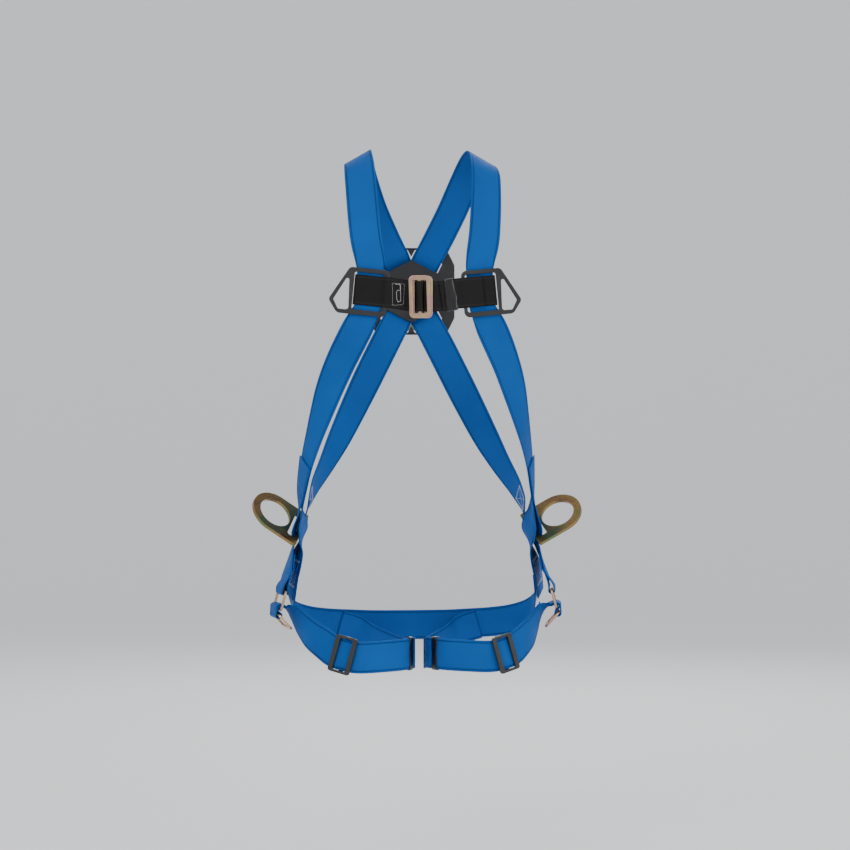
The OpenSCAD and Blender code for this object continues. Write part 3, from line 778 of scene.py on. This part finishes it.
for node in ("chest_frame_left", "chest_frame_right"):
    finish_hard(node, plastic, 0.9 * MM)
for node in ("leg_slider_left", "leg_slider_right"):
    finish_hard(node, plastic, 0.6 * MM)
finish_hard("dorsal_plate", plastic, 0.9 * MM)

# The elastic keepers
chest = straps["chest_strap_right"]
along = chest.nearest(35, -115.2, -218.2)
inward = -chest.face_towards(along, (0, -1, 0))
add_band("chest_keeper", chest, along, inward * 0.95 * MM, 22.2 * MM, 2.35 * MM, 15 * MM, "chest_keeper", 5)
for name, mirror in (("left", -1), ("right", 1)):
    leg = straps[f"leg_strap_{name}"]
    low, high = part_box(f"leg_keeper_{name}")
    x, y, z = [(a + b) / 2 / MM for a, b in zip(low, high)]
    # A little outwards from the keeper's middle, to find the outer of the two layers
    along = leg.nearest(x - mirror * 2, y - 1.5, z)
    outward = leg.face_towards(along, (-mirror, -0.6, 0))
    add_band(f"leg_keeper_{name}", leg, along, -outward * 1.18 * MM, 23.1 * MM, 2.75 * MM, 13 * MM,
             "harness", 7 + mirror)

for node in (
    "chest_buckle_male", "chest_buckle_female", "leg_buckle_female_left", "leg_buckle_female_right",
    "leg_buckle_male_left", "leg_buckle_male_right",
):
    finish_hard(node, pink_zinc, 0.8 * MM)
for node in ("side_ring_left", "side_ring_right", "dorsal_ring"):
    finish_hard(node, olive_zinc, 1.3 * MM, 4)

# ---------------------------------------------------------------- stitching

def on_strap(strap, y, shape):
    """Runs of (x, z) points in millimetres on a strap that faces front there, as (across, along)."""
    return [[strap.locate(x, y, z) for x, z in run] for run in shape]


# The chest strap's box stitch beside the left frame: a rectangle and a bent inner line, in white
chest = straps["chest_strap_left"]
front = -115.1
box_middle_x, box_middle_z = -38.9, -218.1
outer = [[(-8.6, 15.4), (8.9, 14.6), (7.2, -14.6), (-8.4, -15.6), (-8.6, 15.4)]]
inner = [
    [(-4.5, 14.6), (-1.0, 14.0), (2.6, 14.2), (3.4, 11.5), (3.2, 5.6), (-0.6, 5.8), (-2.4, 3.8),
     (-2.2, -6.5), (-0.2, -11.0), (3.4, -9.6), (3.6, -2.0), (3.2, 5.6)],
    [(2.7, 13.6), (3.0, 6.4)],
]


def around_box(shape):
    return [[(box_middle_x + x, box_middle_z + z) for x, z in run] for run in shape]


along = chest.nearest(box_middle_x, front, box_middle_z)
face = chest.face_towards(along, (0, -1, 0))
add_stitches("chest_box_stitch", chest, face, on_strap(chest, front, around_box(outer)), white_thread,
             "chest_left", BOX_OUTER)
add_stitches("chest_inner_stitch", chest, face, on_strap(chest, front, around_box(inner)), white_thread,
             "chest_left", BOX_INNER)


def sew(name, strap, face, runs, thread, kind):
    """Stitches on the blue webbing."""
    add_stitches(name, strap, face, runs, thread, "harness", kind)


for name, mirror in (("left", -1), ("right", 1)):
    # The main strap below the side ring: white double end rows and broken rows between them
    main = straps[f"main_strap_{name}"]
    top, low = main.nearest(mirror * 179, 37, -604), main.nearest(mirror * 186, 42, -639)
    face = main.face_towards((top + low) / 2, (mirror, -0.4, 0))
    ends = []
    for along in (top, low):
        for beside in (along, along + 1.8 * MM):
            ends.append([(-17 * MM, beside), (17 * MM, beside)])
    sew(f"hip_end_stitch_{name}", main, face, ends, white_thread, END_ROW)
    rows = []
    for across in (-13, -4.5, 4.5, 13):
        rows += zigzag(across, 3.2, (top, low), 14)
    sew(f"hip_row_stitch_{name}", main, face, rows, white_thread, BROKEN_ROW)

    # The hip strap's doubled end above the leg buckle
    hip = straps[f"hip_strap_{name}"]
    top, low = hip.nearest(mirror * 184, 31, -588), hip.nearest(mirror * 193, 14, -618)
    face = hip.face_towards((top + low) / 2, (mirror, 0, 0))
    rows = []
    for across in (-15, -5, 5, 15):
        rows += zigzag(across, 4.4, (top, low), 16)
    sew(f"hip_strap_stitch_{name}", hip, face, rows, blue_thread, HEAVY)

    # The hip strap's upper end, sewn on the main strap
    v0, v1 = sorted((hip.nearest(mirror * 172.5, 10, -512), hip.nearest(mirror * 171.5, 3, -492)))
    face = hip.face_towards((v0 + v1) / 2, (mirror, 0, 0))
    box = box_stitch(18.5 * MM, (max(v0, 3 * MM), v1))
    sew(f"hip_top_stitch_{name}", hip, face, box, blue_thread, TOP_END)

seat = straps["seat_strap"]
for name, mirror in (("left", -1), ("right", 1)):
    # The seat strap's end, sewn to the main strap
    v0, v1 = sorted((seat.nearest(mirror * 184, 50, -634), seat.nearest(mirror * 184.8, 67, -662)))
    face = seat.face_towards(v0, (mirror, 0.3, 0))
    sew(f"seat_end_stitch_{name}", seat, face, box_stitch(18 * MM, (v0, v1)), white_thread, PLAIN)

    # The seat strap where the leg strap is sewn to it
    v0, v1 = sorted((seat.nearest(mirror * 112, 144, -707), seat.nearest(mirror * 84, 149.5, -708.5)))
    face = seat.face_towards((v0 + v1) / 2, (0, 1, 0))
    sew(f"leg_end_stitch_{name}", seat, face, box_stitch(18 * MM, (v0, v1)), white_thread, PLAIN)

    # The back strap's end, inside the other main strap
    main = straps[f"main_strap_{name}"]
    end = main.nearest(-mirror * 161, 23, -526)
    near, far = 4 * MM, 30 * MM
    v0, v1 = (end + near, end + far) if end < main.length / 2 else (end - far, end - near)
    face = main.face_towards((v0 + v1) / 2, (mirror, 0, 0))
    sew(f"back_end_stitch_{name}", main, face, box_stitch(16 * MM, (v0, v1)), white_thread, PLAIN)
